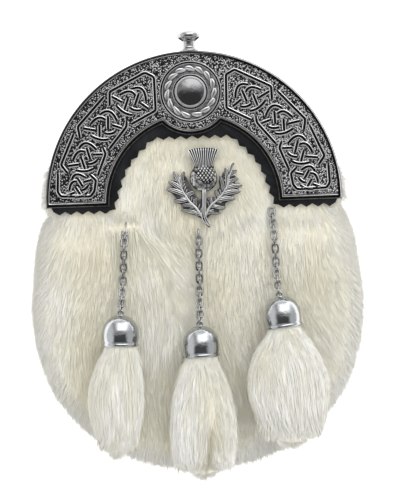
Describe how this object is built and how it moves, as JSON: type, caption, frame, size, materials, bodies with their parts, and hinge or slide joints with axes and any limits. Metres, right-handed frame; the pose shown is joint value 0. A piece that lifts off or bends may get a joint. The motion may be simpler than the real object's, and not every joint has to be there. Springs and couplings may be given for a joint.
{
  "type": "dress sporran pouch",
  "caption": "Round-bottomed dress sporran pouch with long white fur, half-round knotwork cantle, thistle badge, knob, and bell-capped hair tassels on chains.",
  "frame": {"origin": "on the back panel's outer face, below the centre of the cantle's outer arc", "axes": "+X to the right as one looks at the front, +Y up the pouch towards the knob, +Z out of the front; the pouch lies on its back"},
  "size_m": [0.1846, 0.2403, 0.06],
  "materials": {
    "leather": "satin",
    "fur": "matte",
    "antique": "antiqued casting, bright on its raised lines",
    "badge_silver": "antiqued silver-coloured casting",
    "chrome": "polished",
    "chain_steel": "bright"
  },
  "bodies": {
    "root": {"back_panel": "leather", "front_panel": "leather", "gusset": "leather", "pinked_trim": "leather", "fur_pelt": "fur", "tassel_left": "fur", "tassel_centre": "fur", "tassel_right": "fur", "cantle": "antique", "thistle_badge": "badge_silver", "centre_dome": "chrome", "cantle_knob": "chrome", "bell_left": "chrome", "bell_centre": "chrome", "bell_right": "chrome", "chain_left": "chain_steel", "chain_centre": "chain_steel", "chain_right": "chain_steel", "strap_loop_left": "chain_steel", "strap_loop_right": "chain_steel"}
  },
  "joints": []
}
